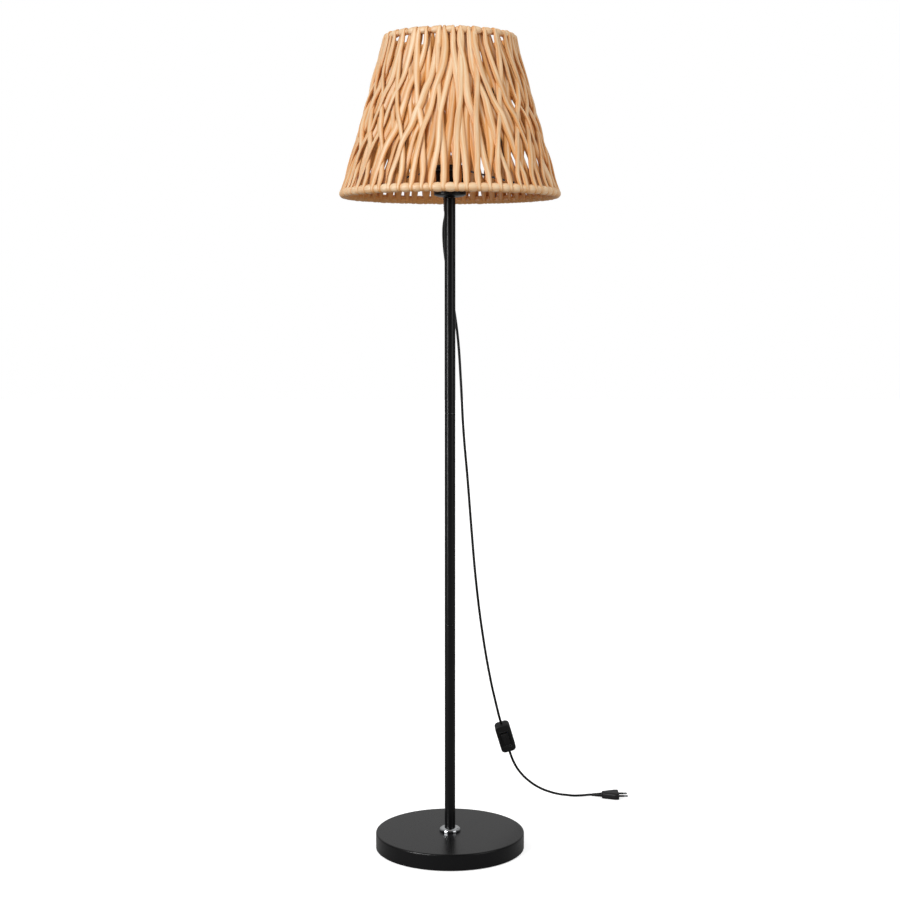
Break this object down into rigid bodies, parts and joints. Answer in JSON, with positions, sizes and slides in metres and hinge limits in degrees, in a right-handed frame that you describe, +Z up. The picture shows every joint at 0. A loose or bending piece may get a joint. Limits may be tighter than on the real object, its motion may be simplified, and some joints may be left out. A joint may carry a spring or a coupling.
{
  "type": "floor lamp",
  "caption": "Floor lamp with an open conical shade of crossing rattan strands, a slim black pole, a round weighted base and a cord with an in-line rocker switch.",
  "frame": {"origin": "centre of the lamp's footprint, at the floor below the pole", "axes": "+Z up along the pole, +X to the right as seen from the front, +Y away from the front"},
  "size_m": [0.5714, 0.5283, 1.5092],
  "materials": {
    "black_paint": "satin black powder coat",
    "black_plastic": "satin black moulded plastic",
    "chrome": "polished chrome plate",
    "zinc": "bright zinc plate",
    "concrete": "cast concrete filling, unpainted",
    "brass": "bright brass",
    "felt": "dense black felt",
    "rattan": "natural paper-rattan strand, clear satin lacquer",
    "wire_paint": "black enamel on welded wire",
    "cord": "smooth black flexible sheath",
    "core": "coloured core insulation"
  },
  "bodies": {
    "lamp_body": {"base_cover": "black_paint", "base_ballast": "concrete", "base_pad": "felt", "base_washer": "zinc", "base_nut": "zinc", "base_stud": "zinc", "foot_collar": "chrome", "pole_lower": "black_paint", "lower_coupler": "zinc", "pole_middle": "black_paint", "upper_coupler": "zinc", "pole_upper": "black_paint", "foot_insert": "zinc", "top_insert": "zinc", "holder_cup": "black_paint", "cup_washer": "zinc", "lock_nut": "zinc", "threaded_nipple": "zinc", "cord_gland": "black_plastic", "holder_base": "black_plastic", "holder_insulator": "black_plastic", "terminal_screw_live": "brass", "terminal_screw_neutral": "brass", "lead_live": "core", "lead_neutral": "core", "holder_skirt": "black_plastic", "screw_shell": "brass", "centre_contact": "brass", "seat_ring": "black_plastic", "cord_upper": "cord", "cord_lower": "cord", "switch_back_shell": "black_plastic", "switch_front_shell": "black_plastic", "rocker_pin": "zinc", "fixed_contact_in": "brass", "fixed_contact_out": "brass", "cord_clamp_in": "black_plastic", "cord_clamp_out": "black_plastic", "through_core": "core", "switch_screw_1": "zinc", "switch_screw_2": "zinc", "plug_body": "black_plastic", "plug_pin_left": "chrome", "plug_pin_right": "chrome"},
    "shade": {"fitter_plate": "wire_paint", "shade_arm_1": "wire_paint", "shade_arm_2": "wire_paint", "shade_arm_3": "wire_paint", "shade_strut_1": "wire_paint", "shade_strut_2": "wire_paint", "shade_strut_3": "wire_paint", "shade_strut_4": "wire_paint", "shade_strut_5": "wire_paint", "shade_strut_6": "wire_paint", "bottom_wire": "wire_paint", "top_wire": "wire_paint", "shade_weave": "rattan"},
    "clamp": {"clamp_ring": "black_plastic"},
    "rocker": {"switch_rocker": "black_plastic", "moving_contact": "brass"}
  },
  "joints": [
    {"name": "shade_lift", "type": "slide", "parent": "lamp_body", "child": "shade", "axis": [0, 0, 1], "range_m": [0, 0.06]},
    {"name": "clamp_turn", "type": "hinge", "parent": "shade", "child": "clamp", "pos_m": [0, 0, 1.2716], "axis": [0, 0, 1], "range_deg": [0, 360]},
    {"name": "rocker_tip", "type": "hinge", "parent": "lamp_body", "child": "rocker", "pos_m": [0.1093, 0.1413, 0.172], "axis": [-0.9608, 0, -0.2771], "range_deg": [0, 16]}
  ]
}
